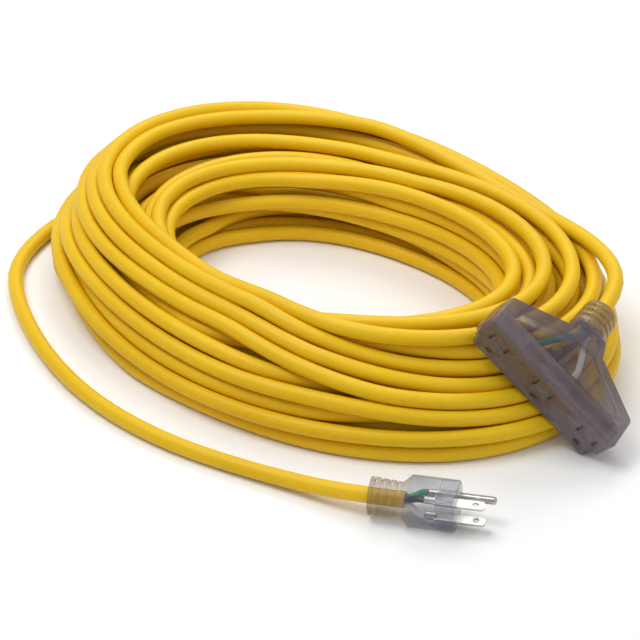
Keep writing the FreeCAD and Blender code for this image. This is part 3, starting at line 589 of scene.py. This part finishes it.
def draw_panel(tree, shader, own, colour, density, before):
    """The panel's lines stand out and are clearer and darker, and its walls are made dense and dark
    as painted shade.
    """
    lines, painted_outline_shade = panel_pattern(tree, own)
    bump(tree, shader, lines, 0.5, 0.25 * MM, before)
    density = maths(tree, "SUBTRACT", density, maths(tree, "MULTIPLY", lines, LINES_CLEARER))
    # Painted shade along the panel's walls: the outline is made denser, and it and the lines are
    # darkened.
    density = maths(tree, "ADD", density, maths(tree, "MULTIPLY", painted_outline_shade, PAINTED_OUTLINE_DENSER))
    lines_and_painted_shade = maths(tree, "ADD", painted_outline_shade, maths(tree, "MULTIPLY", lines, LINES_DARKER))
    shaded = add(tree, "MixRGB", Fac=lines_and_painted_shade, Color1=colour, Color2=(*PANEL_LINES_AND_PAINTED_SHADE, 1))
    return shaded.outputs["Color"], density


def clear_material(name, tints, alphas, placement, axis, jacket_end, panelled):
    """Clear soft PVC: glossy and tinted, denser seen edge on, with flow marks and haze."""
    material, tree, shader = new_material(
        name, IOR=1.53, Specular_IOR_Level=0.5, Coat_Weight=0.5, Coat_Roughness=0.06
    )
    place, own = position(tree), own_place(tree, placement)
    haze = noise(tree, place, 120.0, 3.0)
    edge = add(tree, "LayerWeight", Blend=0.35).outputs["Facing"]
    tinted = add(tree, "MixRGB", Fac=edge, Color1=(*tints[0], 1), Color2=(*tints[1], 1))
    # Painted light from the jacket inside is mixed into the moulding's colour.
    colour = paint_jacket_light(tree, own, axis, jacket_end, tinted.outputs["Color"])
    by_edge = in_range(tree, edge, *alphas, 0.0, 0.9)
    density = maths(tree, "MULTIPLY", by_edge, in_range(tree, haze, 0.9, 1.1))
    tree.links.new(in_range(tree, haze, 0.10, 0.24), shader.inputs["Roughness"])
    flow = bump(tree, shader, noise(tree, place, 160.0, 1.5), 0.12, 0.6 * MM)
    grained = bump(tree, shader, noise(tree, place, 2400.0, 2.0), 0.05, 0.08 * MM, flow)
    if panelled:
        colour, density = draw_panel(tree, shader, own, colour, density, grained)
    tree.links.new(colour, shader.inputs["Base Color"])
    tree.links.new(density, shader.inputs["Alpha"])
    return material


def metal_material(name, low, high, roughness, brushed):
    """Stamped metal: fine lines from rolling, smudges and small dents."""
    material, tree, shader = new_material(name, Metallic=1.0)
    lines = noise(tree, position(tree, brushed), 900.0, 4.0, 0.7)
    smudges = noise(tree, position(tree), 220.0, 3.0)
    tree.links.new(blend_colours(tree, smudges, low, high), shader.inputs["Base Color"])
    tree.links.new(in_range(tree, smudges, roughness, roughness + 0.14), shader.inputs["Roughness"])
    dents = bump(tree, shader, noise(tree, position(tree), 500.0, 2.0), 0.08, 0.2 * MM)
    bump(tree, shader, lines, 0.25, 0.05 * MM, dents)
    return material


def plastic_material(name, low, high, roughness, alpha=1.0):
    """Moulded plastic or wire insulation: a soft gloss, mottled a little, with a fine grain."""
    material, tree, shader = new_material(name, Alpha=alpha, Specular_IOR_Level=0.5)
    place = position(tree)
    mottle = noise(tree, place, 300.0, 3.0)
    tree.links.new(blend_colours(tree, mottle, low, high), shader.inputs["Base Color"])
    tree.links.new(in_range(tree, mottle, roughness, roughness + 0.12), shader.inputs["Roughness"])
    bump(tree, shader, noise(tree, place, 1800.0, 3.0), 0.12, 0.1 * MM)
    return material


# Pieces


def inner_surface(nodes):
    """The surfaces of all the inner pieces, as one tree to measure distances to."""
    joined = bmesh.new()
    for node in nodes:
        joined.from_mesh(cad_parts[node].data)
    bmesh.ops.triangulate(joined, faces=joined.faces[:])
    tree = BVHTree.FromBMesh(joined)
    joined.free()
    return tree


def make_shell(name, node, inner, material):
    """The outer skin of a clear moulding, closed over the places where pieces are moulded in."""
    skin = bmesh.new()
    skin.from_mesh(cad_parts[node].data)
    bmesh.ops.remove_doubles(skin, verts=skin.verts[:], dist=SAME_CORNER)
    touching = inner_surface(inner)
    buried = []
    for face in skin.faces:
        nearest = touching.find_nearest(face.calc_center_median())
        if nearest[3] is not None and nearest[3] < TOUCHING:
            buried.append(face)
    bmesh.ops.delete(skin, geom=buried, context="FACES")
    rims = [edge for edge in skin.edges if edge.is_boundary]
    bmesh.ops.holes_fill(skin, edges=rims, sides=0)
    bmesh.ops.recalc_face_normals(skin, faces=skin.faces[:])
    mesh = bpy.data.meshes.new(name)
    skin.to_mesh(mesh)
    skin.free()
    mesh.polygons.foreach_set("use_smooth", [True] * len(mesh.polygons))
    mesh.set_sharp_from_angle(angle=math.radians(SHARP_ANGLE))
    shell = bpy.data.objects.new(name, mesh)
    bpy.context.collection.objects.link(shell)
    mesh.materials.append(material)
    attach(shell, "root")
    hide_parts(node)
    return shell


def dress(node, material):
    """Gives a CAD piece its material."""
    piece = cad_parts[node]
    if not piece.material_slots:
        piece.data.materials.append(material)
    for slot in piece.material_slots:
        slot.material = material


# Room


def make_floor():
    """Plain pale floor with faint clouds in its colour and gloss."""
    bpy.ops.mesh.primitive_plane_add(size=8.0)
    floor = bpy.context.object
    floor.name = "floor"
    material, tree, shader = new_material("pale_floor", Specular_IOR_Level=0.2)
    cloud = noise(tree, position(tree), 3.0, 3.0)
    colour = blend_colours(tree, cloud, (0.90, 0.90, 0.90), (0.93, 0.93, 0.93))
    tree.links.new(colour, shader.inputs["Base Color"])
    tree.links.new(in_range(tree, cloud, 0.6, 0.75), shader.inputs["Roughness"])
    floor.data.materials.append(material)


def make_light(name, place, size, power):
    """Square soft light that points at the middle of the floor."""
    lamp = bpy.data.lights.new(name, "AREA")
    lamp.size = size
    lamp.energy = power
    light = bpy.data.objects.new(name, lamp)
    light.location = place
    light.rotation_euler = (-Vector(place)).to_track_quat("-Z", "Y").to_euler()
    bpy.context.collection.objects.link(light)


def make_room():
    """Floor, lights and an even white surrounding."""
    make_floor()
    for light in LIGHTS:
        make_light(*light)
    world = bpy.data.worlds.new("studio")
    bpy.context.scene.world = world
    world.use_nodes = True
    background = world.node_tree.nodes["Background"]
    background.inputs["Color"].default_value = (1.0, 1.0, 1.0, 1)
    background.inputs["Strength"].default_value = WORLD_STRENGTH
    bpy.context.scene.view_settings.view_transform = "Standard"


PLUG_INSIDE = (
    "plug_core",
    "plug_line_blade",
    "plug_neutral_blade",
    "plug_ground_pin",
    "plug_black_wire",
    "plug_white_wire",
    "plug_green_wire",
    "plug_copper_ends",
)
TAP_INSIDE = (
    "tap_insert",
    "tap_cover",
    "tap_line_bus",
    "tap_neutral_bus",
    "tap_ground_bus",
    "tap_black_wire",
    "tap_white_wire",
    "tap_green_wire",
    "tap_copper_ends",
)

make_camera()
cord = make_cord()
cord.data.materials.append(jacket_material())

clear_pvc = clear_material(
    "clear_pvc",
    tints=((0.15, 0.175, 0.245), (0.07, 0.08, 0.12)),
    alphas=(0.18, 0.76),
    placement=plug_placement(),
    axis="X",
    jacket_end=(-0.027, -0.033),
    panelled=False,
)
smoky_pvc = clear_material(
    "smoky_pvc",
    tints=((0.155, 0.115, 0.14), (0.10, 0.075, 0.095)),
    alphas=(0.50, 0.86),
    placement=tap_placement(),
    axis="Y",
    jacket_end=(0.052, 0.060),
    panelled=True,
)
nickel = metal_material("nickel_plate", (0.42, 0.41, 0.38), (0.56, 0.55, 0.52), 0.24, (1, 1, 8))
brass = metal_material("bus_brass", (0.62, 0.40, 0.14), (0.74, 0.52, 0.22), 0.26, (8, 1, 1))
copper = metal_material("stranded_copper", (0.60, 0.25, 0.12), (0.78, 0.40, 0.22), 0.28, (1, 8, 8))
clear_core = plastic_material("clear_core", (0.30, 0.33, 0.42), (0.42, 0.45, 0.55), 0.22, 0.20)
insert = plastic_material("insert_plastic", (0.27, 0.22, 0.23), (0.40, 0.33, 0.34), 0.22, 0.46)
black = plastic_material("black_insulation", (0.010, 0.010, 0.011), (0.025, 0.024, 0.024), 0.35)
white = plastic_material("white_insulation", (0.72, 0.71, 0.68), (0.84, 0.83, 0.80), 0.35)
green = plastic_material("green_insulation", (0.008, 0.22, 0.12), (0.020, 0.34, 0.20), 0.35)

plug_shell = make_shell("plug_moulding", "plug_body", PLUG_INSIDE, clear_pvc)
make_shell("tap_moulding", "tap_body", TAP_INSIDE, smoky_pvc)

for owner in ("plug", "tap"):
    dress(owner + "_black_wire", black)
    dress(owner + "_white_wire", white)
    dress(owner + "_green_wire", green)
    dress(owner + "_copper_ends", copper)
for node in ("plug_line_blade", "plug_neutral_blade", "plug_ground_pin"):
    dress(node, nickel)
for node in ("tap_line_bus", "tap_neutral_bus", "tap_ground_bus"):
    dress(node, brass)
dress("plug_core", clear_core)
dress("tap_insert", insert)
dress("tap_cover", insert)

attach(cord, "root")
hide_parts("cord_coil", "cord_tail", "cord_lead")
make_room()
